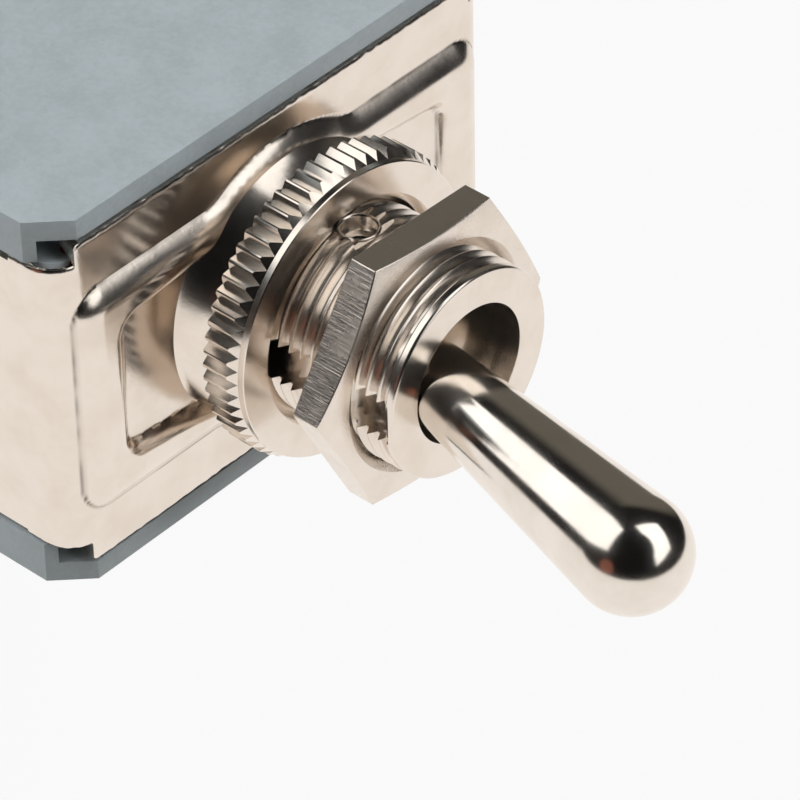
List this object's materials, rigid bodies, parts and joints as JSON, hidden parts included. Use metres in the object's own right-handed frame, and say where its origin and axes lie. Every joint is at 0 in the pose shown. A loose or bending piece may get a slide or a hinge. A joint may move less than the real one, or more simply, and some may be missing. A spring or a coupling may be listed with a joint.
{
  "type": "panel toggle switch",
  "caption": "Double-pole panel toggle switch with a nickel-plated frame, threaded bushing with keyway, knurled ring nut, hex nut and bat lever, on a grey moulded case with blade terminals",
  "frame": {"origin": "on the bushing's axis, at the seat of the bushing and ring nut on the frame's boss", "axes": "+Z out through the panel along the bushing's axis; X the way the lever throws; +Y along the pivot pin"},
  "size_m": [0.0328, 0.0236, 0.0615],
  "materials": {
    "moulded_case": "grey moulding compound, satin",
    "plated_sheet": "bright nickel over stamped steel, slight orange peel at the bends",
    "plated_turned": "bright nickel over turned brass, fine turning marks",
    "plated_lever": "polished nickel",
    "fibre_board": "brown insulating board",
    "nylon": "natural nylon",
    "contact_brass": "bare stamped brass",
    "spring_steel": "bright drawn wire",
    "contact_silver": "silver rivet heads",
    "terminal_brass": "stamped brass, lightly dulled"
  },
  "bodies": {
    "housing": {"case": "moulded_case", "frame": "plated_sheet", "bushing": "plated_turned", "pivot_pin": "plated_turned", "insulating_plate": "fibre_board", "common_terminal_left": "terminal_brass", "common_terminal_right": "terminal_brass", "end_terminal_front_left": "terminal_brass", "end_terminal_front_right": "terminal_brass", "end_terminal_rear_left": "terminal_brass", "end_terminal_rear_right": "terminal_brass", "fixed_contacts_left": "contact_silver", "fixed_contacts_right": "contact_silver"},
    "ring_nut": {"knurled_ring_nut": "plated_turned"},
    "lock_nut": {"hex_nut": "plated_turned"},
    "lever": {"lever": "plated_lever", "actuator": "nylon", "plunger_spring_left": "spring_steel", "plunger_spring_right": "spring_steel"},
    "left_plunger": {"plunger_left": "contact_brass"},
    "right_plunger": {"plunger_right": "contact_brass"},
    "left_rocker": {"rocker_left": "contact_brass", "moving_contacts_left": "contact_silver"},
    "right_rocker": {"rocker_right": "contact_brass", "moving_contacts_right": "contact_silver"}
  },
  "joints": [
    {"name": "lever_throw", "type": "hinge", "parent": "housing", "child": "lever", "pos_m": [0, 0, 0.003], "axis": [0, 1, 0], "range_deg": [0, 26]},
    {"name": "left_plunger_slide", "type": "slide", "parent": "lever", "child": "left_plunger", "axis": [-0.225, 0, 0.9744], "range_m": [0, 0.0003], "stiffness_N_per_m": 400, "springref_m": -0.0015, "deforming": ["plunger_spring_left"]},
    {"name": "right_plunger_slide", "type": "slide", "parent": "lever", "child": "right_plunger", "axis": [-0.225, 0, 0.9744], "range_m": [0, 0.0003], "stiffness_N_per_m": 400, "springref_m": -0.0015, "deforming": ["plunger_spring_right"]},
    {"name": "left_rocker_tilt", "type": "hinge", "parent": "housing", "child": "left_rocker", "pos_m": [0, 0.005, -0.0137], "axis": [0, 1, 0], "range_deg": [-14.2, 0.2]},
    {"name": "right_rocker_tilt", "type": "hinge", "parent": "housing", "child": "right_rocker", "pos_m": [0, -0.005, -0.0137], "axis": [0, 1, 0], "range_deg": [-14.2, 0.2]},
    {"name": "ring_nut_turn", "type": "hinge", "parent": "housing", "child": "ring_nut", "pos_m": [0, 0, 0.001], "axis": [0, 0, 1], "continuous": true},
    {"name": "lock_nut_turn", "type": "hinge", "parent": "housing", "child": "lock_nut", "pos_m": [0, 0, 0.007], "axis": [0, 0, 1], "continuous": true}
  ],
  "couplings": [
    {"joint": "left_rocker_tilt", "follows": "lever_throw", "ratio": -0.53846},
    {"joint": "right_rocker_tilt", "follows": "lever_throw", "ratio": -0.53846}
  ]
}
